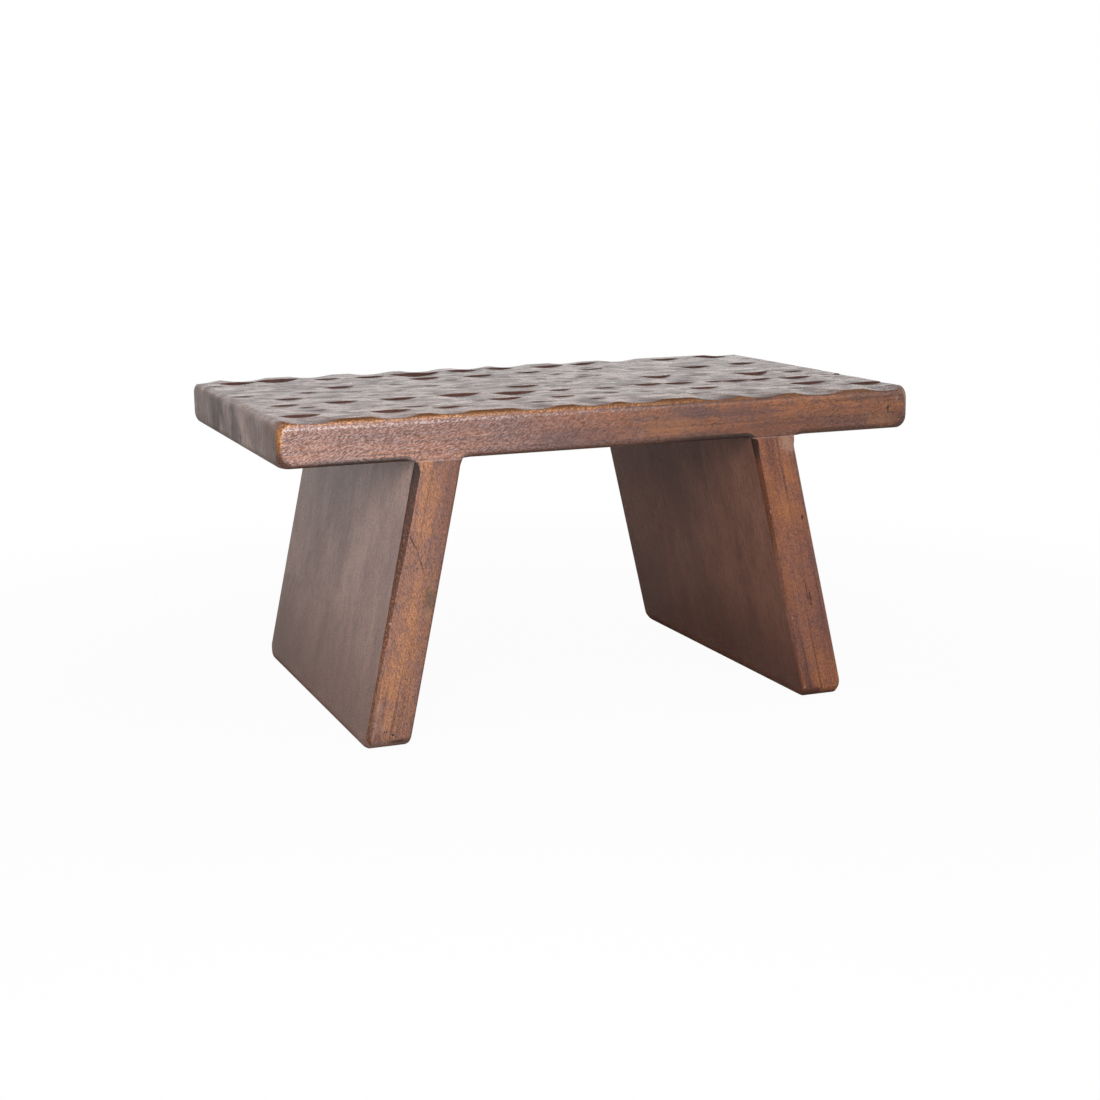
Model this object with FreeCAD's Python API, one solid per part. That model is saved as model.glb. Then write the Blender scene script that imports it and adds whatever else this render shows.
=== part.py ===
"""A low wooden stool: a plank seat with a gouged top on two slab legs that splay outwards.

The seat and each leg are panels of three boards glued edge to edge. Each leg stands in glue
against the underside of the seat, on three hidden dowels. Lengths are millimetres. X runs along
the seat, Y runs from the front to the back, Z is up, and the origin is on the floor under the
middle of the seat.
"""

import FreeCAD
import Part
import math
import os

# Seat
seat_length = 500.0
seat_depth = 307.5
seat_thickness = 33.5
stool_height = 242.5

# Legs, with their thickness and places measured level
leg_thickness = 35.0
leg_lean_degrees = 12.3
seat_overhang = 98.5

# Boards glued edge to edge in the seat and in each leg
board_names = ("front", "middle", "back")

# Rounding: corners of the front outline, and the arris that a router ran round it after gluing
seat_corner_radius = 5.5
foot_corner_radius = 5.0
foot_end_radius = 10.0
arris_radius = 4.5
router_bearing_radius = 7.5

# Dowels, one from each board of a leg up into the seat board that it meets
dowel_diameter = 12.0
dowel_length = 46.0
dowel_depth_in_seat = 18.0
dowel_clearance = 0.1
dowel_end_relief = 1.0

# Gouge cuts in the seat's top: each runs back into the wood, ever deeper, to a stopped end
gouge_edge_radius = 85.0
gouge_full_depth = 4.0

# Rows of cuts from the front edge to the back: the share of the seat's depth where the row's cuts
# stop, their slope in degrees, then for each cut its share of the length from the left end, its
# share of the depth off the row, and its share of the full gouge depth
gouge_shares = (
    (0.120, 1.0, ((0.052, 0.001, 0.80), (0.175, -0.006, 0.68), (0.258, -0.005, 0.50),
                  (0.383, 0.050, 0.62), (0.477, 0.030, 0.59), (0.554, -0.010, 0.62),
                  (0.672, -0.020, 0.95), (0.747, 0.040, 0.85), (0.843, -0.018, 1.00),
                  (0.964, 0.014, 0.95))),
    (0.205, 3.0, ((0.086, -0.006, 0.25), (0.888, 0.000, 0.50))),
    (0.338, 3.0, ((0.058, -0.005, 0.22), (0.146, 0.005, 0.28), (0.235, 0.010, 0.38),
                  (0.336, 0.028, 0.50), (0.421, 0.002, 0.50), (0.496, -0.005, 0.26),
                  (0.567, -0.018, 0.24), (0.647, 0.006, 0.34), (0.702, 0.002, 0.36),
                  (0.797, -0.012, 0.34), (0.838, -0.015, 0.30), (0.903, -0.016, 0.36),
                  (0.996, -0.001, 0.32))),
    (0.475, 3.0, ((0.085, -0.012, 0.24), (0.463, -0.011, 0.32), (0.713, 0.050, 0.34),
                  (0.779, 0.029, 0.22), (0.875, 0.002, 0.46), (0.941, -0.026, 0.24))),
    (0.580, 3.0, ((0.026, -0.009, 0.22), (0.133, 0.001, 0.22), (0.996, 0.003, 0.24))),
    (0.700, 3.0, ((0.196, -0.027, 0.32), (0.574, 0.000, 0.22), (0.832, 0.000, 0.34),
                  (0.929, 0.022, 0.34))),
    (0.782, 3.0, ((0.360, -0.002, 0.32), (0.453, -0.010, 0.32), (0.545, 0.009, 0.26),
                  (0.661, 0.000, 0.24))),
    (0.932, 3.0, ((0.063, -0.016, 0.40), (0.131, 0.006, 0.50), (0.212, -0.042, 0.28),
                  (0.285, -0.042, 0.34), (0.367, -0.014, 0.70), (0.461, 0.006, 0.40),
                  (0.530, 0.005, 0.36), (0.612, -0.007, 0.38), (0.681, 0.016, 0.36),
                  (0.843, 0.011, 0.36), (0.947, 0.044, 0.55))),
    (1.030, 6.0, ((0.084, 0.000, 0.85), (0.200, 0.000, 0.75), (0.302, 0.000, 0.77),
                  (0.392, 0.000, 0.77), (0.482, 0.000, 0.70), (0.556, 0.000, 0.75),
                  (0.662, 0.000, 0.60), (0.764, 0.000, 0.78))),
)

# Sizes that follow
seat_underside = stool_height - seat_thickness
half_length = seat_length / 2
half_depth = seat_depth / 2
board_depth = seat_depth / len(board_names)
splay_per_height = math.tan(math.radians(leg_lean_degrees))
leg_reach_at_seat = half_length - seat_overhang
leg_reach_at_floor = leg_reach_at_seat + seat_underside * splay_per_height
dowel_radius = dowel_diameter / 2
dowel_depth_in_leg = dowel_length - dowel_depth_in_seat


def point(across, up):
    """A point of an outline in the plane of the stool's front face."""
    return FreeCAD.Vector(across, -half_depth, up)


def rounded_outline(corners):
    """A closed wire of straight runs through (point, radius) corners, each joined by an arc."""
    starts = []
    middles = []
    ends = []
    for index, (corner, radius) in enumerate(corners):
        before = (corners[index - 1][0] - corner).normalize()
        after = (corners[(index + 1) % len(corners)][0] - corner).normalize()
        half_angle = before.getAngle(after) / 2
        run = radius / math.tan(half_angle)
        to_centre = (before + after).normalize()
        starts.append(corner + before * run)
        ends.append(corner + after * run)
        middles.append(corner + to_centre * (radius / math.sin(half_angle) - radius))
    edges = []
    for index, start in enumerate(starts):
        edges.append(Part.LineSegment(ends[index - 1], start).toShape())
        edges.append(Part.Arc(start, middles[index], ends[index]).toShape())
    return Part.Wire(edges)


def front_corners():
    """Corners of the whole stool's outline seen from the front, in order round it."""
    inner_at_seat = leg_reach_at_seat - leg_thickness
    inner_at_floor = leg_reach_at_floor - leg_thickness
    right = [
        (half_length, stool_height, seat_corner_radius),
        (half_length, seat_underside, seat_corner_radius),
        (leg_reach_at_seat, seat_underside, router_bearing_radius),
        (leg_reach_at_floor, 0, foot_corner_radius),
        (inner_at_floor, 0, foot_corner_radius),
        (inner_at_seat, seat_underside, router_bearing_radius),
    ]
    left = [(-across, up, radius) for across, up, radius in reversed(right)]
    return [(point(across, up), radius) for across, up, radius in right + left]


def routed_form():
    """The glued-up stool's outline through its depth, with the routed arris front and back."""
    outline = Part.Face(rounded_outline(front_corners()))
    form = outline.extrude(FreeCAD.Vector(0, seat_depth, 0))
    rim = []
    for face in form.Faces:
        if abs(abs(face.CenterOfMass.y) - half_depth) < arris_radius / 2:
            rim.extend(face.OuterWire.Edges)
    return form.makeFillet(arris_radius, rim)


def seat_blank():
    """The square-edged seat panel."""
    corner = FreeCAD.Vector(-half_length, -half_depth, seat_underside)
    return Part.makeBox(seat_length, seat_depth, seat_thickness, corner)


def leg_blank(side):
    """The square-edged leg panel, cut level at its top and foot; side is -1 left, 1 right."""
    outer_at_seat = leg_reach_at_seat
    outer_at_floor = leg_reach_at_floor
    profile = Part.makePolygon([
        point(side * outer_at_seat, seat_underside),
        point(side * outer_at_floor, 0),
        point(side * (outer_at_floor - leg_thickness), 0),
        point(side * (outer_at_seat - leg_thickness), seat_underside),
        point(side * outer_at_seat, seat_underside),
    ])
    return Part.Face(profile).extrude(FreeCAD.Vector(0, seat_depth, 0))


def foot_end_form():
    """The legs' outline seen from the side: both lower corners of a foot are well rounded."""
    corner = FreeCAD.Vector(-half_length, -half_depth, 0)
    form = Part.makeBox(seat_length, seat_depth, seat_underside, corner)
    lower = []
    for edge in form.Edges:
        middle = edge.CenterOfMass
        if abs(middle.x) < arris_radius and middle.z < arris_radius:
            lower.append(edge)
    return form.makeFillet(foot_end_radius, lower)


def gouge_cuts():
    """For each cut: where it stops in plan, its depth there, and its slope."""
    cuts = []
    for row_share, slope, strokes in gouge_shares:
        for along_share, off_share, depth_share in strokes:
            across = -half_length + seat_length * along_share
            inward = -half_depth + seat_depth * (row_share + off_share)
            cuts.append((across, inward, gouge_full_depth * depth_share, math.radians(slope)))
    return cuts


def gouge_tool(across, inward, depth, slope):
    """The path of the gouge's round edge, from the deep stopped end forwards and up, twice as far as
    it needs to leave the wood."""
    stop = FreeCAD.Vector(across, inward, stool_height - depth)
    forwards = FreeCAD.Vector(0, -math.cos(slope), math.sin(slope))
    upwards = FreeCAD.Vector(0, math.sin(slope), math.cos(slope))
    axis_end = stop + upwards * gouge_edge_radius
    length = 2 * depth / math.sin(slope)
    return Part.makeCylinder(gouge_edge_radius, length, axis_end, forwards)


def gouged(board, front, back):
    """The board with every gouge cut that reaches it taken from its top."""
    for across, inward, depth, slope in gouge_cuts():
        reach = depth / math.tan(slope)
        if inward > front and inward - reach < back:
            board = board.cut(gouge_tool(across, inward, depth, slope))
    return board


def dowel_places(side):
    """Where a leg's dowels cross its glue joint, by board, middled in the sloping leg's thickness."""
    lean = splay_per_height * dowel_depth_in_leg / 2
    across = side * (leg_reach_at_seat - leg_thickness / 2 + lean)
    places = {}
    for name, front, back in board_spans():
        places[name] = FreeCAD.Vector(across, (front + back) / 2, seat_underside)
    return places


def dowel(place):
    """A round pin cut from rod, standing in both of its holes."""
    foot = place - FreeCAD.Vector(0, 0, dowel_depth_in_leg)
    return Part.makeCylinder(dowel_radius, dowel_length, foot)


def drilled(board, holes):
    """The board with its share of the blind dowel holes."""
    for hole in holes:
        board = board.cut(hole)
    return board


def dowel_holes(places):
    """The blind holes of a row of dowels, through the glue joint, deeper than the pins."""
    holes = []
    for place in places:
        bottom = place - FreeCAD.Vector(0, 0, dowel_depth_in_leg + dowel_end_relief)
        depth = dowel_length + 2 * dowel_end_relief
        holes.append(Part.makeCylinder(dowel_radius + dowel_clearance, depth, bottom))
    return holes


def board_spans():
    """Each board's name and the planes of its front and back edges."""
    spans = []
    for index, name in enumerate(board_names):
        front = -half_depth + board_depth * index
        spans.append((name, front, front + board_depth))
    return spans


def between(panel, front, back):
    """The part of a panel between two upright planes across the stool."""
    corner = FreeCAD.Vector(-half_length, front, 0)
    return panel.common(Part.makeBox(seat_length, back - front, stool_height, corner))


def seat_boards(form, holes):
    """The seat's boards by node name."""
    panel = seat_blank().common(form)
    boards = {}
    for name, front, back in board_spans():
        board = gouged(between(panel, front, back), front, back)
        boards["seat_" + name + "_board"] = drilled(board, holes)
    return boards


def leg_boards(form, side, side_name, holes):
    """One leg's boards by node name."""
    panel = leg_blank(side).common(form).common(foot_end_form())
    boards = {}
    for name, front, back in board_spans():
        board = between(panel, front, back)
        boards[side_name + "_leg_" + name + "_board"] = drilled(board, holes)
    return boards


def main():
    """Makes every piece and writes each to its own file."""
    form = routed_form()
    pieces = {}
    all_holes = []
    for side, side_name in ((-1, "left"), (1, "right")):
        places = dowel_places(side)
        holes = dowel_holes(places.values())
        all_holes.extend(holes)
        pieces.update(leg_boards(form, side, side_name, holes))
        for name, place in places.items():
            pieces[side_name + "_leg_" + name + "_dowel"] = dowel(place)
    pieces.update(seat_boards(form, all_holes))
    os.makedirs("parts", exist_ok=True)
    for name, piece in pieces.items():
        solid = piece.Solids[0]
        print(name, "solids", len(piece.Solids), "valid", solid.isValid(), "volume", round(solid.Volume))
        solid.exportStep("parts/" + name + ".step")


main()
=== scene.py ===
import math
import random

import bmesh
import bpy
import numpy as np
from mathutils import Matrix, Vector


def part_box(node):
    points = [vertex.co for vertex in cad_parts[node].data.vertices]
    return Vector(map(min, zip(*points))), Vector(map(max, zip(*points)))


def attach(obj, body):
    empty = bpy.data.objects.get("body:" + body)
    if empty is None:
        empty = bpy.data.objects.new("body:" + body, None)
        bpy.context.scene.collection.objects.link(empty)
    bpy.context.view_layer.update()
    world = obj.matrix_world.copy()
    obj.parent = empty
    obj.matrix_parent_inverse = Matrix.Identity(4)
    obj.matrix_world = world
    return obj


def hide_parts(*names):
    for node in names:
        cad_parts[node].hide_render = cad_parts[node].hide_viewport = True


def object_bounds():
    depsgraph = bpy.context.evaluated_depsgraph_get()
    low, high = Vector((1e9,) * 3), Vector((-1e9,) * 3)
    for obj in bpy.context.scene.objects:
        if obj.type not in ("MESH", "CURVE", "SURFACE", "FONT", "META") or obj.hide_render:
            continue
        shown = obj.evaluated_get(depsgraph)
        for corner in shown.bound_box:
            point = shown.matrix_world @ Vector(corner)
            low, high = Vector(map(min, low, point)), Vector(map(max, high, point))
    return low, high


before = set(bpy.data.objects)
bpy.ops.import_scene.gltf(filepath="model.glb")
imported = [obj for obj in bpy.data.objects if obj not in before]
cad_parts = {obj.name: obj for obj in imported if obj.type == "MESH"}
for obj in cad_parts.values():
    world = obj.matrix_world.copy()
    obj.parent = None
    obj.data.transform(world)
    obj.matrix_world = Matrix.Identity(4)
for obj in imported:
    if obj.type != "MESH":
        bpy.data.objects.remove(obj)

# The stool in metres. X runs along the seat, Y from the front to the back, and Z is up.
cad_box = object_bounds()

# Sizes that the frame's pieces give
half_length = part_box("seat_front_board")[1].x
half_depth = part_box("seat_back_board")[1].y
leg_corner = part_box("right_leg_front_board")[1]
seat_top = cad_box[1][2]
seat_underside = leg_corner.z
leg_reach_at_floor = leg_corner.x

# Sizes that are the same as in the model
leg_thickness = 0.035
leg_lean = math.radians(12.3)
arris_radius = 0.0045
seat_corner_radius = 0.0055
foot_end_radius = 0.010
router_bearing_radius = 0.0075
splay_per_height = math.tan(leg_lean)
leg_reach_at_seat = leg_reach_at_floor - seat_underside * splay_per_height

# Rounding that is finer than the model's: the legs' arrises and feet, and more at the outer corners
leg_inner_arris_radius = 0.0033
foot_arris_radius = 0.0022
foot_corner_radius = 0.0052
foot_back_radius = 0.0140
corner_wear = 0.0070
corner_wear_reach = 0.012

# Strips of each board's mesh along X, Y and Z, and the share of them inside each rounded edge
seat_board_strips = (300, 128, 14)
leg_board_strips = (20, 60, 110)
rounded_edge_reach = seat_corner_radius * 1.3
seat_end_share = 0.022
seat_face_share = 0.09
seat_underside_share = 0.30
seat_top_share = 0.35
leg_side_share = 0.28
leg_face_share = 0.14
leg_end_share = 0.08

# How much of its height a strip keeps where the gouge cuts below it
least_strip_share = 0.02

# The gouge, and how its marks lie in the top
gouge_edge_radius = 0.085
gouge_mark_width = 0.0445
gouge_stroke_length = 0.040
gouge_wall_run = 0.0018
gouge_stop_radius = 0.060
gouge_wall_start = 0.15

# Marks: share of the length from the left end, share of the depth from the front, share of the width
gouge_marks = (
    (0.051, 0.121, 0.74), (0.183, 0.114, 0.76), (0.269, 0.115, 0.62), (0.408, 0.110, 0.44),
    (0.499, 0.109, 0.50), (0.668, 0.100, 0.48), (0.836, 0.102, 0.40), (0.969, 0.134, 0.80),
    (0.230, 0.162, 0.50), (0.086, 0.199, 0.46), (0.381, 0.223, 0.70), (0.466, 0.192, 0.55),
    (0.550, 0.205, 0.42), (0.708, 0.211, 0.64), (0.888, 0.205, 0.80), (0.083, 0.265, 0.46),
    (0.750, 0.252, 0.28), (0.058, 0.333, 0.58), (0.146, 0.343, 0.66), (0.235, 0.348, 0.74),
    (0.330, 0.306, 0.46), (0.336, 0.366, 0.86), (0.421, 0.340, 0.86), (0.496, 0.333, 0.60),
    (0.567, 0.320, 0.52), (0.611, 0.351, 0.44), (0.648, 0.345, 0.66), (0.702, 0.340, 0.70),
    (0.760, 0.325, 0.48), (0.797, 0.326, 0.66), (0.838, 0.323, 0.60), (0.903, 0.322, 0.72),
    (0.996, 0.337, 0.56), (0.216, 0.442, 0.34), (0.085, 0.463, 0.58), (0.463, 0.464, 0.70),
    (0.549, 0.504, 0.38), (0.629, 0.502, 0.40), (0.941, 0.449, 0.56), (0.026, 0.571, 0.48),
    (0.133, 0.581, 0.48), (0.199, 0.544, 0.42), (0.335, 0.575, 0.42), (0.525, 0.601, 0.40),
    (0.600, 0.597, 0.48), (0.996, 0.583, 0.42), (0.196, 0.673, 0.66), (0.289, 0.658, 0.36),
    (0.392, 0.685, 0.38), (0.485, 0.695, 0.38), (0.574, 0.699, 0.46), (0.832, 0.700, 0.72),
    (0.881, 0.642, 0.34), (0.102, 0.674, 0.28), (0.257, 0.715, 0.34), (0.632, 0.718, 0.34),
    (0.721, 0.717, 0.34), (0.929, 0.722, 0.70), (0.044, 0.750, 0.30), (0.360, 0.780, 0.70),
    (0.453, 0.772, 0.70), (0.545, 0.791, 0.62), (0.661, 0.782, 0.56), (0.019, 0.840, 0.36),
    (0.164, 0.843, 0.32), (0.212, 0.890, 0.58), (0.285, 0.890, 0.66), (0.063, 0.916, 0.82),
    (0.131, 0.938, 0.92), (0.367, 0.918, 1.06), (0.461, 0.938, 0.82), (0.530, 0.937, 0.74),
    (0.612, 0.925, 0.76), (0.681, 0.948, 0.74), (0.743, 0.956, 0.50), (0.843, 0.943, 0.70),
    (0.947, 0.976, 0.96), (0.989, 0.951, 0.40),
)

# Marks whose stop bends the other way, and four times as much
turned_marks = ((0.713, 0.505, 0.74), (0.779, 0.490, 0.50), (0.875, 0.462, 0.88))
turned_bend = -4

# Hollows that run off the front and back edges: share of the length, and share of the deepest
deepest_edge_hollow = 0.0030
edge_hollow_run = 0.032
front_hollows = (
    (0.052, 0.86), (0.173, 0.70), (0.255, 0.47), (0.383, 0.63), (0.475, 0.58), (0.552, 0.60),
    (0.672, 0.80), (0.748, 0.74), (0.845, 0.90), (0.962, 0.80),
)
back_hollows = (
    (0.004, 0.80), (0.084, 0.80), (0.200, 0.72), (0.302, 0.70), (0.392, 0.70), (0.482, 0.60),
    (0.556, 0.66), (0.662, 0.48), (0.764, 0.72), (0.970, 0.60),
)

# The right end of the front edge is worn down a little
front_wear = 0.0012

# Light shallow cuts that level the wood between the marks: how far apart, how wide and how uneven
levelling_rows = 13
levelling_marks_in_row = 16
levelling_width_shares = (0.24, 0.42)
levelling_wall_run = 0.004
levelling_seed = 11

# Colours of the stained wood
band_orange = (0.320, 0.120, 0.042, 1)
band_brown = (0.150, 0.055, 0.027, 1)
patch_plum = (0.125, 0.060, 0.047, 1)
grain_line_dark = (0.060, 0.026, 0.018, 1)
mottle_brown = (0.120, 0.058, 0.048, 1)
figure_dark = (0.085, 0.036, 0.027, 1)

# Colours of the stain on the broad side faces, before each leg's wash, which on the left leg is pale grey
# painted sheen
side_light = (0.290, 0.170, 0.130, 1)
side_dark = (0.195, 0.108, 0.085, 1)
side_streak = (0.090, 0.046, 0.034, 1)
side_foot = (0.095, 0.041, 0.027, 1)

# Colours of the gouged top
top_light = (0.360, 0.195, 0.150, 1)
top_dark = (0.120, 0.056, 0.042, 1)
top_streak = (0.070, 0.032, 0.025, 1)
top_dip = (0.080, 0.037, 0.028, 1)
# The ridges' colour is partly rubbed wood and partly painted highlight; the stops' colour is painted shade
top_ridge = (0.440, 0.260, 0.210, 1)
top_stop = (0.085, 0.028, 0.019, 1)

# Bands on the seat's ends: share of the depth from the front and how light, then their colour at 1
end_tones = (
    (0.06, 0.250), (0.16, 0.200), (0.27, 0.400), (0.33, 0.360), (0.42, 0.120), (0.50, 0.130),
    (0.58, 0.290), (0.63, 0.260), (0.72, 0.105), (0.82, 0.110), (0.92, 0.230),
)
end_band_tint = (1.22, 0.78, 0.66)
end_at_front = (0.200, 0.115, 0.085, 1)
end_at_back = (0.260, 0.170, 0.140, 1)

# Colours of the glue, the painted glints and the painted shade in the corners by the legs
glue_pale = (0.50, 0.36, 0.31, 1)
# Pale rosy colour of the painted glints and of the painted highlight line under the top arris
glint_rosy = (0.66, 0.52, 0.50, 1)
rim_rosy = (0.260, 0.135, 0.095, 1)
# Near black painted shade for the inside corners where the legs meet the seat
corner_shade_black = (0.012, 0.005, 0.004, 1)

# Colours of the worn arrises; the legs' dark ones are partly painted shade of the curved arris
worn_gold_dark = (0.140, 0.048, 0.011, 1)
worn_gold_light = (0.720, 0.290, 0.060, 1)
worn_red_dark = (0.060, 0.019, 0.011, 1)
worn_red_light = (0.170, 0.060, 0.026, 1)
leg_arris_dark = (0.030, 0.009, 0.005, 1)
leg_arris_light = (0.170, 0.050, 0.022, 1)
leg_arris_rightward = (0.095, 0.032, 0.015, 1)
foot_arris_dark = (0.110, 0.032, 0.012, 1)
foot_arris_light = (0.360, 0.140, 0.056, 1)

# How far the open pores slant across the grain
pore_slant = math.radians(24)

# Marks and broad stains on the front faces: place (x, z), reach, turn, colour and strength
hole = (0.015, 0.008, 0.006, 1)
stain = (0.050, 0.018, 0.012, 1)
mossy = (0.120, 0.075, 0.040, 1)
pale = (0.420, 0.240, 0.170, 1)
plum = (0.120, 0.066, 0.064, 1)
amber = (0.400, 0.165, 0.060, 1)
front_blemishes = {
    "left_leg_front_board": (
        ((-0.1802, 0.0135), (0.0007, 0.0007), 0.0, hole, 1.0),
        ((-0.1786, 0.0133), (0.0006, 0.0006), 0.0, hole, 1.0),
        ((-0.1810, 0.0120), (0.0006, 0.0006), 0.0, hole, 1.0),
        ((-0.1738, 0.0105), (0.0008, 0.0008), 0.0, hole, 1.0),
        ((-0.1835, 0.0300), (0.0030, 0.0060), 0.2, pale, 0.35),
        ((-0.1840, 0.0170), (0.0040, 0.0050), 0.0, pale, 0.35),
        ((-0.1705, 0.0050), (0.0060, 0.0014), 0.0, stain, 0.85),
        ((-0.1545, 0.1505), (0.0006, 0.0085), -0.44, stain, 0.80),
        ((-0.1490, 0.1355), (0.0006, 0.0080), -0.26, stain, 0.75),
        ((-0.1435, 0.1090), (0.0045, 0.0090), 0.2, mossy, 0.60),
        ((-0.1450, 0.0970), (0.0030, 0.0045), 0.2, pale, 0.25),
        ((-0.1730, 0.0930), (0.0008, 0.0008), 0.0, pale, 1.0),
    ),
    "right_leg_front_board": (
        ((0.1470, 0.2020), (0.0080, 0.0062), 0.70, pale, 0.75),
        ((0.1425, 0.2040), (0.0040, 0.0045), 0.0, pale, 0.60),
        ((0.1580, 0.1450), (0.0010, 0.0016), 0.0, stain, 0.90),
        ((0.1660, 0.0800), (0.0009, 0.0070), -0.21, stain, 0.80),
        ((0.1625, 0.0870), (0.0006, 0.0110), -0.21, stain, 0.60),
        ((0.1310, 0.1510), (0.0009, 0.0009), 0.0, pale, 1.0),
        ((0.1505, 0.0660), (0.0009, 0.0009), 0.0, pale, 1.0),
        ((0.1620, 0.0090), (0.0010, 0.0008), 0.0, pale, 1.0),
    ),
    "seat_front_board": (
        ((0.2320, 0.2250), (0.0008, 0.0034), 0.0, hole, 0.90),
        ((0.2400, 0.2330), (0.0006, 0.0020), 0.2, pale, 0.60),
        ((-0.0300, 0.2180), (0.0300, 0.0080), 0.05, plum, 0.40),
        ((0.0650, 0.2310), (0.0230, 0.0050), 0.0, plum, 0.45),
        ((0.1080, 0.2290), (0.0280, 0.0060), 0.0, plum, 0.40),
        ((0.0450, 0.2230), (0.0200, 0.0080), 0.0, amber, 0.30),
        ((0.2250, 0.2170), (0.0130, 0.0050), 0.1, amber, 0.40),
    ),
}

# The photo's camera
camera_place = Vector((-0.5410, -1.4484, 0.4067))
camera_turn = math.radians(20.764)
camera_dip = math.radians(11.037)
camera_roll = math.radians(-0.906)
camera_lens = 62.925
camera_sensor = 36.0


def rounded_min(depth_a, depth_b, radius, slant=0.0):
    """Depth inside a corner between two faces, rounded. Slant is the dot product of their normals."""
    short_a = radius - depth_a
    short_b = radius - depth_b
    along_a = np.maximum((short_a - slant * short_b) / (1 - slant ** 2), 0)
    along_b = np.maximum((short_b - slant * short_a) / (1 - slant ** 2), 0)
    reach = np.sqrt(along_a ** 2 + along_b ** 2 + 2 * slant * along_a * along_b)
    in_corner = (along_a > 0) & (along_b > 0)
    return np.where(in_corner, radius - reach, np.minimum(depth_a, depth_b))


def hollow_depth(across, up, edge_at_seat, side):
    """Depth behind the inside corner of the seat's underside and a leg's outer (1) or inner (-1) face."""
    lean_cos = math.cos(leg_lean)
    lean_sin = math.sin(leg_lean)
    centre = edge_at_seat + router_bearing_radius * (splay_per_height + side / lean_cos)
    right = across - centre
    above = up - (seat_underside - router_bearing_radius)
    into_leg = -side * (lean_cos * right + lean_sin * above)
    down_leg = lean_sin * right - lean_cos * above
    off_corner = np.hypot(right, above)
    off_leg = np.where((down_leg >= 0) & (into_leg > 0), into_leg, off_corner)
    off_seat = np.where((side * right >= 0) & (above > 0), above, off_leg)
    return off_seat - router_bearing_radius


def outline_depth(x, y, z):
    """Depth inside the stool's outline seen from the front, with all its corners rounded."""
    across = np.abs(x)
    end = half_length - across
    near_face = np.clip(1 - (half_depth - np.abs(y)) / corner_wear_reach, 0, 1)
    wear = corner_wear * near_face ** 2
    outer = hollow_depth(across, z, leg_reach_at_seat, 1)
    inner = hollow_depth(across, z, leg_reach_at_seat - leg_thickness, -1)
    seat = np.minimum(rounded_min(end, seat_top - z, seat_corner_radius + wear),
                      rounded_min(end, outer, seat_corner_radius + wear))
    feet = np.minimum(rounded_min(z, outer, foot_corner_radius + wear, -math.sin(leg_lean)),
                      rounded_min(z, inner, foot_corner_radius + wear, math.sin(leg_lean)))
    return np.minimum(seat, feet)


def arris_radius_at(x, z):
    """The arris is full on the seat. It thins down each leg's outer edge, and is thinner inside."""
    leg_middle = leg_reach_at_floor - z * splay_per_height - leg_thickness / 2
    outer = eased(np.abs(x) - leg_middle, -leg_thickness / 5, leg_thickness / 5)
    on_outer = foot_arris_radius + (arris_radius - foot_arris_radius) * eased(z, 0.01, 0.19)
    on_leg = leg_inner_arris_radius + (on_outer - leg_inner_arris_radius) * outer
    return on_leg + (arris_radius - on_leg) * eased(z, seat_underside - 0.02, seat_underside)


def routed_depth(x, y, z):
    """Depth inside the glued-up stool, with its routed arrises and rounded foot ends."""
    face = half_depth - np.abs(y)
    routed = rounded_min(outline_depth(x, y, z), face, arris_radius_at(x, z))
    return np.minimum(routed, rounded_min(face, z, np.where(y > 0, foot_back_radius, foot_end_radius)))


def levelling_marks():
    """Shallow cuts on an uneven grid, which leave no flat wood between the deep marks."""
    chance = random.Random(levelling_seed)
    marks = []
    for row in range(levelling_rows):
        for number in range(levelling_marks_in_row):
            along = (number + 0.5 + 0.5 * (row % 2) + chance.uniform(-0.3, 0.3)) / levelling_marks_in_row
            across = (row + 0.6 + chance.uniform(-0.3, 0.3)) / levelling_rows
            marks.append((along, across, chance.uniform(*levelling_width_shares)))
    return marks


def mark_depth(x, y, mark, bend, run=gouge_wall_run):
    """How deep one gouge mark cuts: a round trough that climbs forwards from a curved, steep stop."""
    along_share, across_share, width_share = mark
    aside = x - (2 * along_share - 1) * half_length
    width = gouge_mark_width * width_share
    depth = width ** 2 / (8 * gouge_edge_radius)
    stop = (2 * across_share - 1) * half_depth - bend * aside ** 2 / (2 * gouge_stop_radius)
    forward = stop - y
    climb = depth * np.maximum(forward, 0) / gouge_stroke_length
    trough = np.maximum(depth - climb - aside ** 2 / (2 * gouge_edge_radius), 0)
    wall = np.clip(forward / run + gouge_wall_start, 0, 1)
    return trough * wall * wall * (3 - 2 * wall)


def edge_hollow_depth(x, from_edge, hollow):
    """How deep a hollow that runs off the front or back edge is, so far in from that edge."""
    along_share, depth_share = hollow
    aside = x - (2 * along_share - 1) * half_length
    depth = deepest_edge_hollow * depth_share * (1 - from_edge / edge_hollow_run)
    return np.maximum(depth - aside ** 2 / (2 * gouge_edge_radius), 0)


def gouged_depth(x, y):
    """How far the gouge went below the plank's first surface, over all its marks."""
    sharpness = 8
    total = np.zeros_like(x)
    inward = eased(half_depth - np.abs(y), 0.002, 0.022)
    for mark in levelling_marks():
        total += (inward * mark_depth(x, y, mark, 1, levelling_wall_run)) ** sharpness
    for mark in gouge_marks:
        total += mark_depth(x, y, mark, 1) ** sharpness
    for mark in turned_marks:
        total += mark_depth(x, y, mark, turned_bend) ** sharpness
    for hollow in front_hollows:
        total += edge_hollow_depth(x, half_depth + y, hollow) ** sharpness
    for hollow in back_hollows:
        total += edge_hollow_depth(x, half_depth - y, hollow) ** sharpness
    wear = front_wear * eased(x, 0.04, 0.16) * eased(-y, 0, half_depth)
    return total ** (1 / sharpness) + wear


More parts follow.
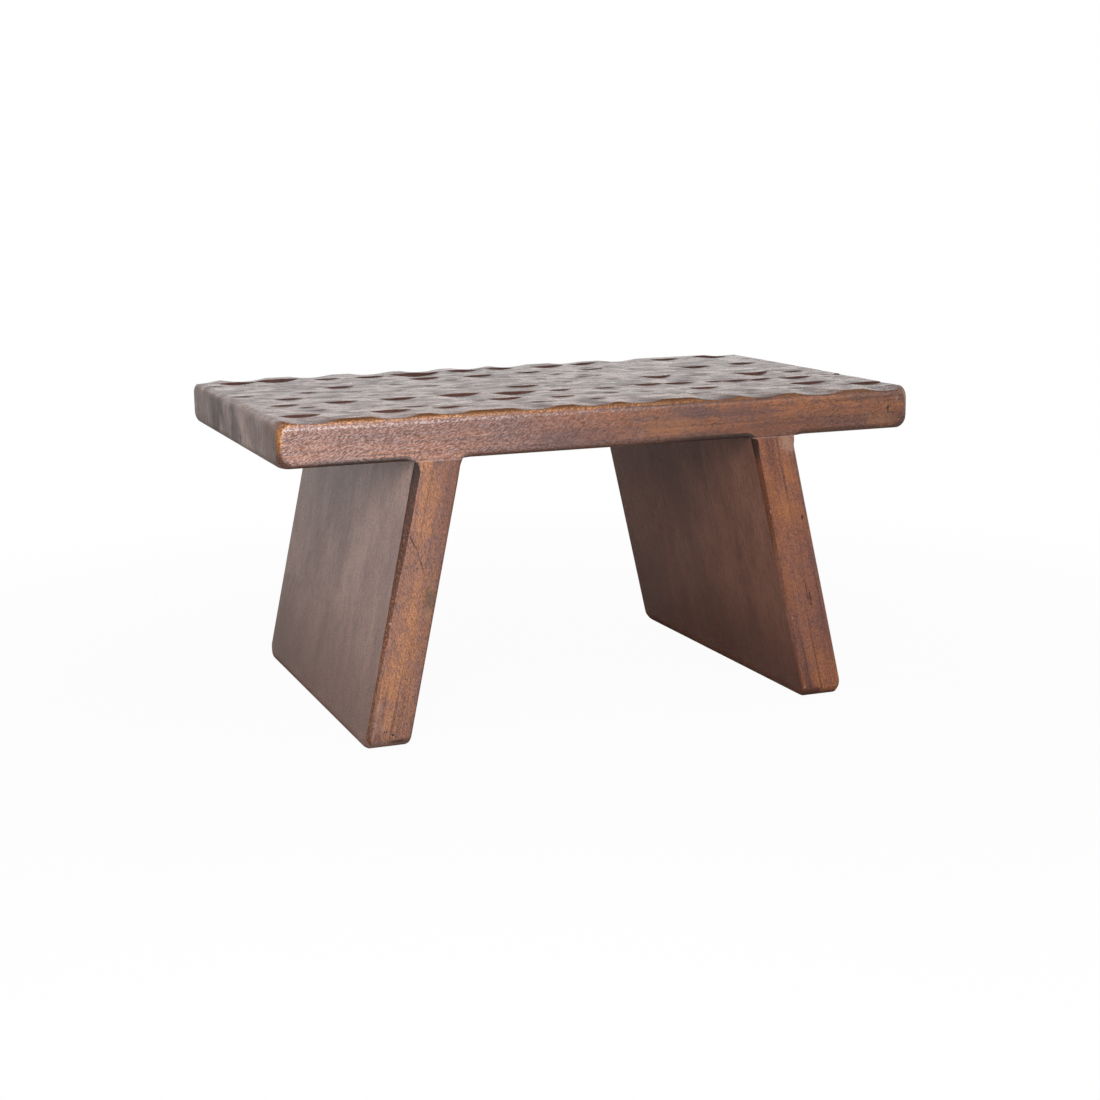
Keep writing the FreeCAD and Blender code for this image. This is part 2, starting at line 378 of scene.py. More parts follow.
def stop_wall_share(x, y):
    """1 on the steep stops of the deep marks: thick in a mark's middle and thin at its two tips."""
    most = np.zeros_like(x)
    bent_marks = [(mark, 1) for mark in gouge_marks] + [(mark, turned_bend) for mark in turned_marks]
    for (along_share, across_share, width_share), bend in bent_marks:
        aside = x - (2 * along_share - 1) * half_length
        within = np.clip(1 - (2 * aside / (gouge_mark_width * width_share)) ** 2, 0, 1)
        stop = (2 * across_share - 1) * half_depth - bend * aside ** 2 / (2 * gouge_stop_radius)
        thickness = 2.0 * gouge_wall_run * np.sqrt(within)
        begun = eased(stop - y, -0.0008, 0.0002)
        band = begun * (1 - eased(stop - y - thickness, -0.0006, 0.0010))
        most = np.maximum(most, band * eased(within, 0.0, 0.3))
    return most


def eased(value, low, high):
    """0 below low, 1 above high, and a smooth rise between."""
    share = np.clip((value - low) / (high - low), 0, 1)
    return share * share * (3 - 2 * share)


def board_block(loops):
    """A block of unit size with that many even strips along X, Y and Z."""
    block = bmesh.new()
    bmesh.ops.create_cube(block, size=1.0)
    bmesh.ops.translate(block, verts=block.verts, vec=(0.5, 0.5, 0.5))
    for axis, count in enumerate(loops):
        along = [e for e in block.edges if abs(e.verts[0].co[axis] - e.verts[1].co[axis]) > 0.5]
        bmesh.ops.subdivide_edges(block, edges=along, cuts=count - 1, use_grid_fill=True)
    bmesh.ops.recalc_face_normals(block, faces=block.faces)
    return block


def spread(share, low, high, close_at_low, close_at_high):
    """Places even loops between two ends, with many of them inside a rounded edge at either end."""
    loop_shares = [0.0, 1.0]
    places = [low, high]
    if close_at_low:
        loop_shares.insert(1, close_at_low)
        places.insert(1, low + rounded_edge_reach)
    if close_at_high:
        loop_shares.insert(-1, 1 - close_at_high)
        places.insert(-1, high - rounded_edge_reach)
    return np.interp(share, loop_shares, places)


def pressed_to_form(x, y, z):
    """Moves points that stand outside the routed form in to its surface, square to it."""
    step = 1e-6
    for _ in range(4):
        depth = routed_depth(x, y, z)
        slope_x = (routed_depth(x + step, y, z) - routed_depth(x - step, y, z)) / (2 * step)
        slope_y = (routed_depth(x, y + step, z) - routed_depth(x, y - step, z)) / (2 * step)
        slope_z = (routed_depth(x, y, z + step) - routed_depth(x, y, z - step)) / (2 * step)
        size = np.maximum(slope_x ** 2 + slope_y ** 2 + slope_z ** 2, 0.05)
        move = np.where(depth < 0, -depth, 0) / size
        x = x + move * slope_x
        y = y + move * slope_y
        z = z + move * slope_z
    return x, y, z


def worn_arris(x, y, z):
    """1 in the middle of a routed arris and 0 at both its sides."""
    radius = arris_radius_at(x, z)
    from_face = np.clip(1 - (half_depth - np.abs(y)) / radius, 0, 1)
    from_side = np.clip(1 - outline_depth(x, y, z) / radius, 0, 1)
    return np.clip(2 * np.sqrt(from_face * from_side), 0, 1)


def on_flat_face(y, edge=0.0001, fade=0.0007):
    """1 on the front and back faces, and 0 inside them."""
    return 1 - eased(half_depth - np.abs(y), edge, edge + fade)


def keep_values(mesh, name, values):
    """Stores one number a vertex for a material to read."""
    layer = mesh.attributes.new(name, "FLOAT", "POINT")
    layer.data.foreach_set("value", np.ascontiguousarray(values, dtype=np.float32))


def finished_piece(name, block, corners, material):
    """Makes the piece of a block: its places are worked out from unit ones by the given function."""
    mesh = bpy.data.meshes.new(name + "_dressed")
    block.to_mesh(mesh)
    block.free()
    unit = np.empty(len(mesh.vertices) * 3)
    mesh.vertices.foreach_get("co", unit)
    unit = unit.reshape(-1, 3)
    places, values = corners(unit)
    mesh.vertices.foreach_set("co", np.ascontiguousarray(places).ravel())
    for layer, numbers in values.items():
        keep_values(mesh, layer, numbers)
    mesh.update()
    mesh.shade_smooth()
    mesh.set_sharp_from_angle(angle=math.radians(50))
    piece = bpy.data.objects.new(name + "_dressed", mesh)
    bpy.context.scene.collection.objects.link(piece)
    mesh.materials.append(material)
    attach(piece, "root")
    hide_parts(name)
    return piece


def cut_shares(x, y, z, here):
    """How much a point is on the gouged top, on a steep stop, in a dip or on a ridge between marks."""
    near = 0.0010
    behind = gouged_depth(x, y + near)
    before = gouged_depth(x, y - near)
    aside = gouged_depth(x + 4 * near, y) + gouged_depth(x - 4 * near, y)
    climb = (before - behind) / (2 * near)
    ridge = (aside - 2 * here) / (4 * near) ** 2
    cut = eased(z - (seat_top - here), -0.0004, 0.0001)
    steep = np.maximum(stop_wall_share(x, y), 0.6 * eased(climb, 0.06, 0.20))
    return {
        "cut": cut,
        # The stops take painted shade, and the ridges below a lighter colour that is partly painted
        # highlight
        "wall": steep * cut,
        "dip": eased(here, 0.0002, 0.0020) * cut,
        "ridge": eased(ridge, 4.0, 26.0) * cut,
    }


def wear_shares(x, y, z, cut):
    """How much a point off the gouged top is on an arris, a flat face, an end, an end's upper rim, or the
    band under the top arris that gets a painted highlight line.
    """
    worn = worn_arris(x, y, z) * (1 - cut)
    upper = eased(z, seat_underside, seat_top - arris_radius) ** 0.5
    flat = on_flat_face(y)
    by_top = eased(z, seat_top - 0.0060, seat_top - 0.0040)
    by_end = eased(np.abs(x), half_length - 0.0060, half_length - 0.0040)
    # A band just under the top arris on the front and back faces, where a painted highlight line goes
    line_begins = eased(z, seat_top - 0.0078, seat_top - 0.0058)
    line_stops = 1 - eased(z, seat_top - 0.0050, seat_top - 0.0042)
    return {
        "worn": worn * upper,
        "low": worn * (1 - upper),
        "flat": flat,
        "line": line_begins * line_stops * flat,
        "end": eased(np.abs(x), half_length - 0.0012, half_length - 0.0002),
        "rim": by_top * by_end * (1 - flat) * (1 - cut),
    }


def seat_board(name, material):
    """One board of the seat, from its outline to the gouged top."""
    low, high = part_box(name)
    front_share = seat_face_share if low.y < -half_depth + arris_radius else 0
    back_share = seat_face_share if high.y > half_depth - arris_radius else 0

    def shaped(unit):
        x = spread(unit[:, 0], -half_length, half_length, seat_end_share, seat_end_share)
        y = spread(unit[:, 1], low.y, high.y, front_share, back_share)
        z = spread(unit[:, 2], seat_underside, seat_top, seat_underside_share, seat_top_share)
        x, y, z = pressed_to_form(x, y, z)
        here = gouged_depth(x, y)
        values = cut_shares(x, y, z, here)
        values.update(wear_shares(x, y, z, values["cut"]))
        pushed_down = seat_top - here - least_strip_share * (seat_top - z)
        return np.column_stack((x, y, np.minimum(z, pushed_down))), values

    return finished_piece(name, board_block(seat_board_strips), shaped, material)


def leg_shares(x, y, z, outer, side):
    """How much a point is on a worn arris or a flat face. The arrises take a dark band that is partly
    painted shade, most on those that face left.
    """
    faces_left = outer if side < 0 else ~outer
    # Painted shade: how dark each arris is painted, by which way it faces
    darkness = np.where(faces_left, np.where(outer, 1.0, 0.55), 0.15)
    flat = np.where(faces_left, on_flat_face(y), on_flat_face(y, 0.0010, 0.0030))
    return {"worn": worn_arris(x, y, z) * darkness, "flat": flat}


def leg_board(name, side, material):
    """One board of a leg, leaning outwards, with its foot cut level."""
    low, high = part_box(name)
    front_share = leg_face_share if low.y < -half_depth + arris_radius else 0
    back_share = leg_face_share if high.y > half_depth - arris_radius else 0
    inner_at_floor = leg_reach_at_floor - leg_thickness

    def shaped(unit):
        inside_to_out = unit[:, 0] if side > 0 else 1 - unit[:, 0]
        x = spread(inside_to_out, inner_at_floor, leg_reach_at_floor, leg_side_share, leg_side_share)
        y = spread(unit[:, 1], low.y, high.y, front_share, back_share)
        z = spread(unit[:, 2], 0.0, seat_underside, leg_end_share, leg_end_share)
        x = side * (x - z * splay_per_height)
        at_joint = z > seat_underside - 1e-7
        x, y, pressed_z = pressed_to_form(x, y, z)
        z = np.where(at_joint, z, pressed_z)
        outer = leg_reach_at_floor - z * splay_per_height - leg_thickness / 2 < side * x
        return np.column_stack((x, y, z)), leg_shares(x, y, z, outer, side)

    return finished_piece(name, board_block(leg_board_strips), shaped, material)


def node(tree, kind, inputs=None, **options):
    """Adds a shader node, sets its options, and gives its inputs values or links."""
    made = tree.nodes.new("ShaderNode" + kind)
    for option, value in options.items():
        setattr(made, option, value)
    for socket, value in (inputs or {}).items():
        if isinstance(value, bpy.types.NodeSocket):
            tree.links.new(value, made.inputs[socket])
        else:
            made.inputs[socket].default_value = value
    return made


def mixed(tree, share, first, second, way="MIX"):
    """A colour mixed from two by a share."""
    made = node(tree, "Mix", {0: share, 6: first, 7: second}, data_type="RGBA", blend_type=way)
    return made.outputs[2]


def worked_out(tree, way, first, second=0.0, clamp=False):
    """A sum, product or other result of two numbers."""
    made = node(tree, "Math", {0: first, 1: second}, operation=way, use_clamp=clamp)
    return made.outputs[0]


def times(tree, first, second):
    """The product of two numbers."""
    return worked_out(tree, "MULTIPLY", first, second)


def plus(tree, first, second):
    """The sum of two numbers."""
    return worked_out(tree, "ADD", first, second)


def lit(tree, colour, light):
    """A colour made that many times as light."""
    return node(tree, "VectorMath", {0: colour, "Scale": light}, operation="SCALE").outputs[0]


def tinted(tree, colour, tint):
    """A colour multiplied by a tint, channel by channel."""
    return node(tree, "VectorMath", {0: colour, 1: tint}, operation="MULTIPLY").outputs[0]


def ranged(tree, value, low, high, to_low=0.0, to_high=1.0):
    """A number brought from one range to another, smoothly and within it."""
    made = node(tree, "MapRange", {"Value": value, "From Min": low, "From Max": high,
                                   "To Min": to_low, "To Max": to_high},
                interpolation_type="SMOOTHSTEP")
    return made.outputs["Result"]


def stretched_noise(tree, place, per_metre, detail=3.0, roughness=0.55):
    """Noise with that many waves to the metre along each axis."""
    scaled = node(tree, "VectorMath", {0: place, 1: per_metre}, operation="MULTIPLY")
    made = node(tree, "TexNoise", {"Vector": scaled.outputs[0], "Scale": 1.0, "Detail": detail,
                                   "Roughness": roughness})
    return made.outputs["Fac"]


def stored(tree, name):
    """A number kept on the piece's vertices."""
    return node(tree, "Attribute", attribute_name=name).outputs["Fac"]


def stored_share(tree, name, strength):
    """A number kept on the piece's vertices, made weaker."""
    return times(tree, stored(tree, name), strength)


def turned_place(tree, place, turn):
    """Coordinates turned about the Y axis, which stands square to the front face."""
    return node(tree, "Mapping", {"Vector": place, "Rotation": (0.0, turn, 0.0)}).outputs["Vector"]


def object_place(tree):
    """Where a point is on the whole stool, in metres."""
    return node(tree, "TexCoord").outputs["Object"]


def place_parts(tree):
    """The X, Y and Z of a point on the whole stool, as three numbers."""
    return node(tree, "SeparateXYZ", {0: object_place(tree)}).outputs


def blemish(tree, colour, centre, reach, turn, tone, strength):
    """One mark on the front face: a hole, crack, stain, scuff or speck of filler, with a ragged edge."""
    spot = node(tree, "Mapping", {"Vector": object_place(tree),
                                  "Location": (centre[0], -half_depth, centre[1]),
                                  "Rotation": (0.0, turn, 0.0),
                                  "Scale": (reach[0], 0.004, reach[1])},
                vector_type="TEXTURE").outputs["Vector"]
    far = node(tree, "VectorMath", {0: spot}, operation="LENGTH").outputs["Value"]
    ragged = stretched_noise(tree, object_place(tree), (420.0, 420.0, 420.0), 4.0, 0.7)
    far = plus(tree, far, ranged(tree, ragged, 0.25, 0.75, -0.6, 0.6))
    return mixed(tree, ranged(tree, far, 1.3, 0.6, 0.0, strength), colour, tone)


def wood_colours(tree, grain, tint, patchiness):
    """The stained wood before wear: orange and brown bands, plum patches, mottles and dark grain lines."""
    bands = stretched_noise(tree, grain, (2.4, 80.0, 34.0), 3.0)
    patches = stretched_noise(tree, grain, (10.0, 26.0, 30.0), 3.0)
    lines = stretched_noise(tree, grain, (5.0, 480.0, 300.0), 3.0, 0.6)
    mottles = stretched_noise(tree, grain, (90.0, 170.0, 170.0), 4.0, 0.65)
    figure = stretched_noise(tree, grain, (8.0, 150.0, 120.0), 3.0, 0.6)
    colour = mixed(tree, ranged(tree, bands, 0.34, 0.66, 0.05, 0.95), band_orange, band_brown)
    colour = mixed(tree, ranged(tree, patches, 0.44, 0.62, 0.0, patchiness), colour, patch_plum)
    colour = mixed(tree, ranged(tree, lines, 0.50, 0.68, 0.0, 0.70), colour, grain_line_dark)
    colour = mixed(tree, ranged(tree, mottles, 0.48, 0.62, 0.0, 0.42), colour, mottle_brown)
    colour = mixed(tree, ranged(tree, figure, 0.52, 0.66, 0.0, 0.55), colour, figure_dark)
    return tinted(tree, colour, tint)


def side_colours(tree, grain, colour, wash):
    """The broad side faces: a stain in soft clouds and fine streaks, dark and warm by the foot, times the
    leg's wash, which is pale grey painted sheen on the left leg.
    """
    clouds = stretched_noise(tree, grain, (13.0, 20.0, 20.0), 4.0, 0.6)
    streaks = stretched_noise(tree, grain, (100.0, 430.0, 430.0), 4.0, 0.7)
    tone = mixed(tree, ranged(tree, clouds, 0.36, 0.64), side_light, side_dark)
    tone = mixed(tree, ranged(tree, streaks, 0.46, 0.66, 0.0, 0.50), tone, side_streak)
    tone = mixed(tree, ranged(tree, place_parts(tree)[2], 0.110, 0.010, 0.0, 0.75), tone, side_foot)
    return mixed(tree, 0.88, colour, tinted(tree, tone, wash))


def end_bands(tree):
    """Upright bands of grey and dark brown on the seat's ends, which pass over the boards' joints."""
    place = place_parts(tree)
    streaks = stretched_noise(tree, object_place(tree), (10.0, 42.0, 38.0), 4.0, 0.6)
    across = plus(tree, place[1], ranged(tree, streaks, 0.25, 0.75, -0.018, 0.018))
    across = plus(tree, across, times(tree, place[2], -0.25))
    share = ranged(tree, across, -half_depth - 0.055, half_depth - 0.055)
    ramp = node(tree, "ValToRGB", {"Fac": share})
    points = ramp.color_ramp.elements
    points[0].position, points[0].color = 0.0, end_at_front
    points[1].position, points[1].color = 1.0, end_at_back
    red, green, blue = end_band_tint
    for spot, tone in end_tones:
        points.new(spot).color = (tone * red, tone * green, tone * blue, 1)
    fine = stretched_noise(tree, object_place(tree), (300.0, 700.0, 90.0), 4.0, 0.7)
    return lit(tree, ramp.outputs[0], ranged(tree, fine, 0.3, 0.7, 0.45, 1.50))


def top_colours(tree, grain, colour, clouds):
    """The gouged top: a dark stain, darker in the dips, with painted shade on the steep stops, and rosy
    ridges that are partly rubbed wood and partly painted highlight.
    """
    streaks = stretched_noise(tree, grain, (80.0, 100.0, 100.0), 4.0, 0.6)
    tone = mixed(tree, ranged(tree, clouds, 0.36, 0.64), top_light, top_dark)
    tone = mixed(tree, ranged(tree, streaks, 0.48, 0.68, 0.0, 0.70), tone, top_streak)
    tone = mixed(tree, stored_share(tree, "dip", 0.45), tone, top_dip)
    tone = mixed(tree, stored_share(tree, "ridge", 0.35), tone, top_ridge)
    tone = mixed(tree, stored_share(tree, "wall", 0.90), tone, top_stop)
    return mixed(tree, stored_share(tree, "cut", 0.94), colour, tone)


def golden_arris(tree, colour, speckle):
    """The seat's worn arrises: dull gold with bright flecks above, red brown below, and painted shade,
    near black, by the legs.
    """
    place = place_parts(tree)
    under_edge = ranged(tree, place[2], seat_top - 0.0008, seat_top - 0.0028)
    to_right = ranged(tree, place[0], -0.02, 0.14, 1.0, 0.25)
    bright = times(tree, times(tree, under_edge, to_right), ranged(tree, speckle, 0.46, 0.66))
    gold = mixed(tree, bright, worn_gold_dark, worn_gold_light)
    colour = mixed(tree, ranged(tree, stored(tree, "worn"), 0.35, 0.80, 0.0, 0.95), colour, gold)
    # Painted shade where the seat's lower arris runs into the corners by the legs
    left_leg = times(tree, ranged(tree, place[0], -0.245, -0.205), ranged(tree, place[0], -0.14, -0.15))
    right_leg = times(tree, ranged(tree, place[0], 0.02, 0.08), ranged(tree, place[0], 0.130, 0.120))
    low = mixed(tree, ranged(tree, speckle, 0.40, 0.66), worn_red_dark, worn_red_light)
    low = mixed(tree, times(tree, plus(tree, left_leg, right_leg), 0.85), low, corner_shade_black)
    colour = mixed(tree, ranged(tree, stored(tree, "low"), 0.12, 0.60, 0.0, 0.90), colour, low)
    return mixed(tree, stored_share(tree, "rim", 0.7), colour, rim_rosy)


def painted_glints(tree, colour, pores):
    """Painted highlights on the front and back faces: lighter towards the left, pale rosy glints that grow
    towards the left, and a painted highlight line just under the top arris.
    """
    leftward = ranged(tree, place_parts(tree)[0], 0.12, -0.25, 0.10, 1.0)
    fine = stretched_noise(tree, object_place(tree), (900.0, 900.0, 1300.0), 2.0, 0.6)
    all_over = times(tree, stored(tree, "flat"), leftward)
    # Painted light: the front and back faces made lighter towards the left
    colour = lit(tree, colour, plus(tree, 1.0, times(tree, all_over, 0.36)))
    flecks = times(tree, ranged(tree, pores, 0.56, 0.40), ranged(tree, fine, 0.35, 0.60, 0.10, 0.50))
    share = times(tree, plus(tree, flecks, 0.09), all_over)
    by_arris = times(tree, stored(tree, "line"), plus(tree, leftward, 0.1))
    by_arris = times(tree, by_arris, ranged(tree, fine, 0.42, 0.62))
    return mixed(tree, worked_out(tree, "ADD", share, by_arris, True), colour, glint_rosy)


def shaded_leg_arrises(tree, colour):
    """A leg's arrises: dark red brown below the seat, partly painted shade of the curve, orange towards
    the foot, lighter on the right.
    """
    place = place_parts(tree)
    foot = ranged(tree, place[2], 0.19, 0.04)
    dark = mixed(tree, foot, leg_arris_dark, foot_arris_dark)
    dark = mixed(tree, ranged(tree, place[0], -0.05, 0.05), dark, leg_arris_rightward)
    light = mixed(tree, foot, leg_arris_light, foot_arris_light)
    flecks = stretched_noise(tree, object_place(tree), (750.0, 750.0, 750.0), 3.0, 0.6)
    tone = mixed(tree, ranged(tree, flecks, 0.48, 0.66), dark, light)
    # Painted shade, near black, in the corner just under the seat
    tone = mixed(tree, ranged(tree, place[2], 0.186, 0.200, 0.0, 0.9), tone, corner_shade_black)
    begins = plus(tree, times(tree, foot, 0.50), 0.15)
    share = worked_out(tree, "SUBTRACT", stored(tree, "worn"), begins)
    return mixed(tree, ranged(tree, share, 0.0, 0.30, 0.0, 0.95), colour, tone)


def glue_line(tree, colour):
    """The thin pale line of glue, broken here and there, where a leg meets the seat."""
    near = ranged(tree, place_parts(tree)[2], seat_underside - 0.0011, seat_underside - 0.0006)
    broken = stretched_noise(tree, object_place(tree), (260.0, 260.0, 10.0), 2.0)
    near = times(tree, near, ranged(tree, broken, 0.35, 0.60, 0.10, 0.55))
    return mixed(tree, near, colour, glue_pale)


def seat_light(tree, light):
    """The specks' and pores' light on the seat, which changes less on the gouged top."""
    off_top = worked_out(tree, "SUBTRACT", 1.0, stored_share(tree, "cut", 0.6))
    change = worked_out(tree, "SUBTRACT", light, 1.0)
    return plus(tree, times(tree, change, off_top), 1.0)


def seat_roughness(tree, clouds, bands):
    """The seat's lacquer, which is duller in the stain's clouds and on the dark bands of its ends."""
    on_end = times(tree, stored(tree, "end"), ranged(tree, bands, 0.06, 0.30, 0.30, 0.12))
    return plus(tree, ranged(tree, clouds, 0.3, 0.7, 0.17, 0.38), on_end)


def leg_roughness(tree, speckle):
    """A leg's lacquer, which is duller on its worn arrises and just above the floor."""
    rough = plus(tree, ranged(tree, speckle, 0.3, 0.7, 0.30, 0.46), stored_share(tree, "worn", 0.4))
    return plus(tree, rough, ranged(tree, place_parts(tree)[2], 0.009, 0.003, 0.0, 0.4))


def seat_relief(tree, relief, clouds):
    """The fine relief of the seat: weak on the gouged top, where the blade left soft waves instead."""
    relief = times(tree, relief, ranged(tree, stored(tree, "cut"), 0.0, 1.0, 1.0, 0.35))
    return plus(tree, relief, times(tree, stored(tree, "cut"), times(tree, clouds, 10.0)))


def stained_wood(name, lean, shift, tint, for_seat, blemishes, wash=(1, 1, 1), shine=0.5):
    """A board's material: stained wood with open pores under satin lacquer, worn along its arrises, with
    painted highlights and painted shade.
    """
    material = bpy.data.materials.new(name)
    material.use_nodes = True
    tree = material.node_tree
    tree.nodes.clear()
    grain = node(tree, "Mapping", {"Vector": object_place(tree), "Location": shift,
                                   "Rotation": (0.0, lean, 0.0)}).outputs["Vector"]
    slanted = turned_place(tree, grain, pore_slant)
    pores = stretched_noise(tree, slanted, (400.0, 1550.0, 1550.0), 3.0, 0.6)
    speckle = stretched_noise(tree, grain, (700.0, 1300.0, 1300.0), 2.0, 0.65)
    clouds = stretched_noise(tree, grain, (45.0, 75.0, 75.0), 5.0, 0.65)
    fibres = stretched_noise(tree, grain, (60.0, 1500.0, 1500.0), 3.0, 0.7)
    colour = wood_colours(tree, grain, tint, 0.8 if for_seat else 0.45)
    off_face = worked_out(tree, "SUBTRACT", 1.0, stored(tree, "flat"))
    colour = mixed(tree, off_face, colour, side_colours(tree, grain, colour, wash))
    specks = ranged(tree, speckle, 0.30, 0.70, 0.74, 1.30)
    light = times(tree, specks, ranged(tree, pores, 0.46, 0.64, 1.12, 0.66))
    relief = plus(tree, times(tree, fibres, 0.5), speckle)
    relief = worked_out(tree, "SUBTRACT", relief, ranged(tree, pores, 0.50, 0.70))
    if for_seat:
        bands = end_bands(tree)
        colour = mixed(tree, stored_share(tree, "end", 0.90), colour, bands)
        colour = top_colours(tree, grain, colour, clouds)
        colour = lit(tree, colour, seat_light(tree, light))
        colour = painted_glints(tree, golden_arris(tree, colour, speckle), pores)
        rough = seat_roughness(tree, clouds, bands)
        relief = seat_relief(tree, relief, clouds)
    else:
        colour = lit(tree, colour, light)
        colour = glue_line(tree, shaded_leg_arrises(tree, colour))
        rough = leg_roughness(tree, speckle)
    for centre, reach, turn, tone, strength in blemishes:
        colour = blemish(tree, colour, centre, reach, turn, tone, strength)
    bump = node(tree, "Bump", {"Height": relief, "Strength": 0.7, "Distance": 0.0003})
    shader = node(tree, "BsdfPrincipled", {"Base Color": colour, "Roughness": rough,
                                           "Normal": bump.outputs[0], "Specular IOR Level": shine,
                                           "Coat Weight": 0.1 if for_seat else 0.0,
                                           "Coat Roughness": 0.22})
    end = node(tree, "OutputMaterial")
    tree.links.new(shader.outputs[0], end.inputs[0])
    return material


def bare_wood():
    """The hidden dowels: pale turned wood without stain."""
    material = bpy.data.materials.new("bare_dowel_wood")
    material.use_nodes = True
    tree = material.node_tree
    shader = tree.nodes["Principled BSDF"]
    streaks = stretched_noise(tree, object_place(tree), (900.0, 900.0, 30.0), 3.0)
    pale_wood = (0.62, 0.44, 0.26, 1)
    darker_wood = (0.46, 0.30, 0.16, 1)
    colour = mixed(tree, ranged(tree, streaks, 0.35, 0.65), pale_wood, darker_wood)
    tree.links.new(colour, shader.inputs["Base Color"])
    tree.links.new(ranged(tree, streaks, 0.3, 0.7, 0.6, 0.8), shader.inputs["Roughness"])
    bump = node(tree, "Bump", {"Height": streaks, "Strength": 0.3, "Distance": 0.0001})
    tree.links.new(bump.outputs[0], shader.inputs["Normal"])
    return material


def make_seat():
    """The three boards of the seat."""
    shifts = {"front": (0.31, 0.12, 0.05), "middle": (1.27, 0.41, 0.22), "back": (2.13, 0.78, 0.47)}
    tints = {"front": (1.07, 1.01, 1.06), "middle": (0.96, 0.96, 0.96), "back": (1.05, 1.05, 1.05)}
    for place, shift in shifts.items():
        name = "seat_" + place + "_board"
        marks = front_blemishes.get(name, ())
        wood = stained_wood(name + "_wood", 0.0, shift, tints[place], True, marks)
        seat_board(name, wood)


def make_legs():
    """The three boards of each leg, which stand with their grain up the leg."""
    # Each leg's stain tint, side wash and shine; the left leg's pale grey wash is painted sheen on its
    # sides
    stains = {"left": ((1.34, 1.56, 2.12), (2.00, 2.20, 2.40), 0.6),
              "right": ((1.30, 1.33, 1.68), (1.02, 0.79, 0.68), 0.25)}
    for number, (side_name, (tint, wash, shine)) in enumerate(stains.items()):
        side = 2 * number - 1
        lean = -side * (math.pi / 2 - leg_lean)
        for order, place in enumerate(("front", "middle", "back")):
            name = side_name + "_leg_" + place + "_board"
            along = 3.1 + 1.7 * number + 0.6 * order
            shift = (along, 0.9 * order + 0.35 * number, 0.7 * number + 0.23 * order)
            marks = front_blemishes.get(name, ())
            wood = stained_wood(name + "_wood", lean, shift, tint, False, marks, wash, shine)
            leg_board(name, side, wood)


def make_dowels():
    """The dowels keep their modelled shape and get bare wood."""
    wood = bare_wood()
    for name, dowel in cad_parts.items():
        if name.endswith("dowel"):
            dowel.data.materials.clear()
            dowel.data.materials.append(wood)


def pale_floor():
    """A plain pale floor that fades to the white of the background, and keeps the stool's shadow."""
    bpy.ops.mesh.primitive_plane_add(size=16.0)
    floor = bpy.context.object
    floor.name = "floor"
    material = bpy.data.materials.new("pale_floor")
    material.use_nodes = True
    tree = material.node_tree
    tree.nodes.clear()
    far = node(tree, "VectorMath", {0: object_place(tree)}, operation="LENGTH").outputs["Value"]
    path = node(tree, "LightPath").outputs
    by_camera = times(tree, path["Is Camera Ray"], ranged(tree, far, 0.3, 1.0, 0.96, 1.0))
    mirrored = worked_out(tree, "MAXIMUM", path["Is Glossy Ray"], path["Is Transmission Ray"])
    by_mirror = times(tree, mirrored, ranged(tree, far, 0.5, 3.4, 0.0, 1.0))
    pale = node(tree, "BsdfDiffuse", {"Color": (0.55, 0.55, 0.55, 1)})
    white = node(tree, "Emission", {"Color": (1, 1, 1, 1), "Strength": 1.0})
    seen = worked_out(tree, "MAXIMUM", by_camera, by_mirror)
    both = node(tree, "MixShader", {0: seen, 1: pale.outputs[0], 2: white.outputs[0]})
    end = node(tree, "OutputMaterial")
    tree.links.new(both.outputs[0], end.inputs[0])
    floor.data.materials.append(material)


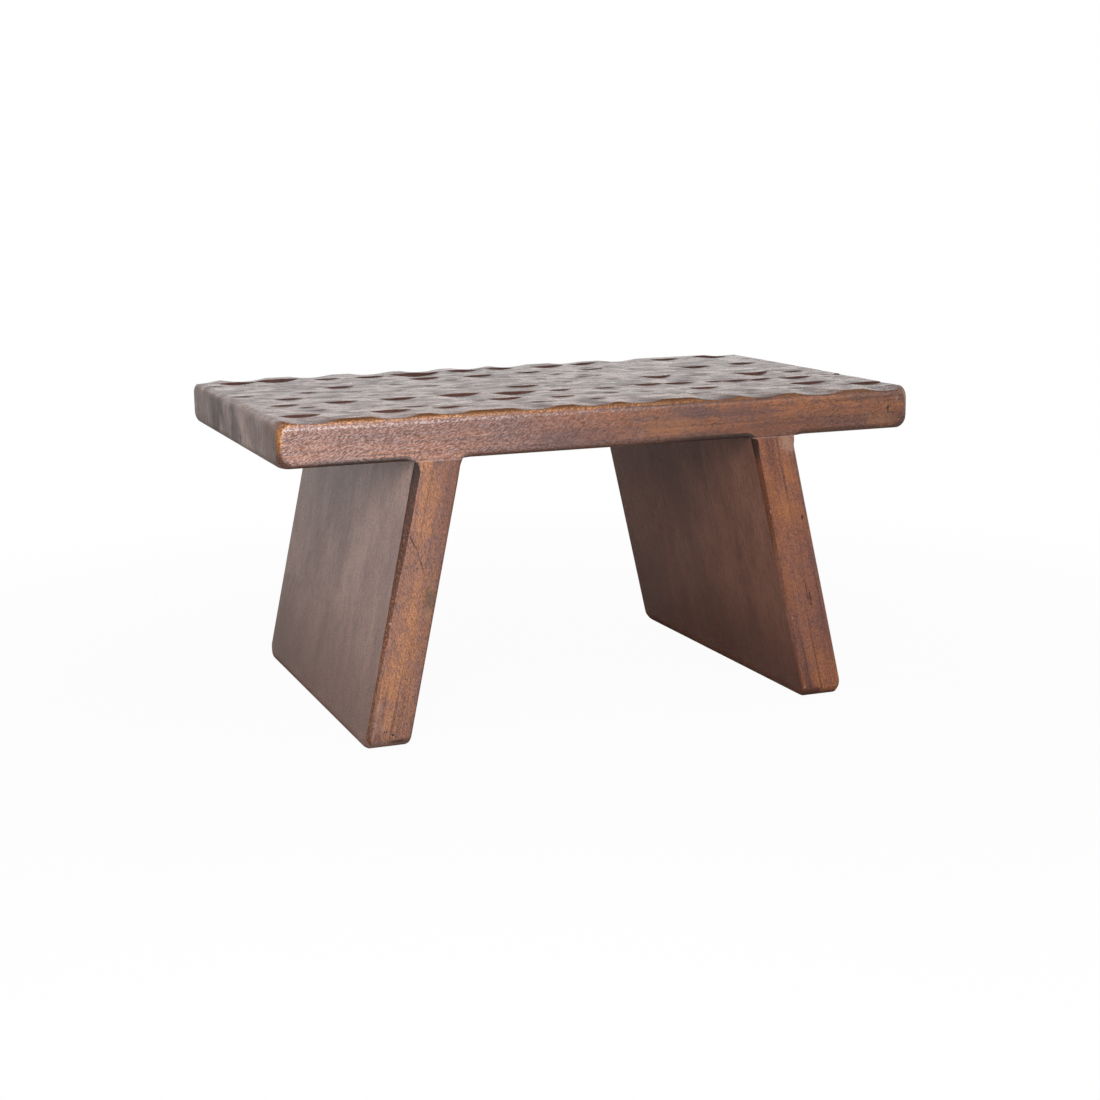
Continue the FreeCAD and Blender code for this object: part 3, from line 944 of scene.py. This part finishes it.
def studio_world():
    """White all round for the camera; for reflections white near the horizon and dimmer overhead."""
    world = bpy.data.worlds.new("studio")
    bpy.context.scene.world = world
    world.use_nodes = True
    tree = world.node_tree
    tree.nodes.clear()
    path = node(tree, "LightPath").outputs
    up = node(tree, "SeparateXYZ", {0: node(tree, "TexCoord").outputs["Generated"]}).outputs[2]
    horizon = ranged(tree, up, 0.10, 0.50, 1.0, 0.15)
    soft = ranged(tree, up, -0.2, 0.9, 0.24, 0.40)
    light = mixed(tree, path["Is Glossy Ray"], soft, horizon)
    colour = mixed(tree, path["Is Camera Ray"], light, (1, 1, 1, 1))
    glow = node(tree, "Background", {"Color": colour, "Strength": 1.0})
    end = node(tree, "OutputWorld")
    tree.links.new(glow.outputs[0], end.inputs[0])


def soft_lamp(name, place, width, height, power, aim=(0, 0, 0.12)):
    """A soft lamp that points at the stool and that the camera doesn't see."""
    lamp = bpy.data.lights.new(name, "AREA")
    lamp.shape = "RECTANGLE"
    lamp.size = width
    lamp.size_y = height
    lamp.energy = power
    holder = bpy.data.objects.new(name, lamp)
    holder.location = place
    turn = (Vector(aim) - Vector(place)).to_track_quat("-Z", "Y")
    holder.rotation_euler = turn.to_euler()
    holder.visible_camera = False
    bpy.context.scene.collection.objects.link(holder)


def studio_lamps():
    """A near main lamp before the left of the seat, a high one, a wide one behind and one at the right."""
    soft_lamp("main_lamp", (-0.36, -0.80, 0.52), 0.35, 0.35, 5.2)
    soft_lamp("high_lamp", (0.9, -1.2, 1.9), 1.2, 1.2, 5.0)
    soft_lamp("back_lamp", (1.05, 2.8, 0.85), 3.6, 1.1, 4.3)
    soft_lamp("side_lamp", (1.80, -0.35, 0.35), 1.0, 1.0, 6.0)


def photo_camera():
    """The camera at the photo's place, looking the way that the photo was taken."""
    forward = Vector((math.sin(camera_turn) * math.cos(camera_dip),
                      math.cos(camera_turn) * math.cos(camera_dip), -math.sin(camera_dip)))
    level = Vector((math.cos(camera_turn), -math.sin(camera_turn), 0))
    right = level * math.cos(camera_roll) + level.cross(forward) * math.sin(camera_roll)
    up = right.cross(forward)
    lens = bpy.data.cameras.new("photo_camera")
    lens.lens = camera_lens
    lens.sensor_width = camera_sensor
    camera = bpy.data.objects.new("photo_camera", lens)
    turn = Matrix((right, up, -forward)).transposed().to_4x4()
    camera.matrix_world = Matrix.Translation(camera_place) @ turn
    bpy.context.scene.collection.objects.link(camera)
    bpy.context.scene.camera = camera


photo_camera()
pale_floor()
studio_world()
studio_lamps()
make_seat()
make_legs()
make_dowels()
bpy.context.scene.view_settings.view_transform = "Standard"
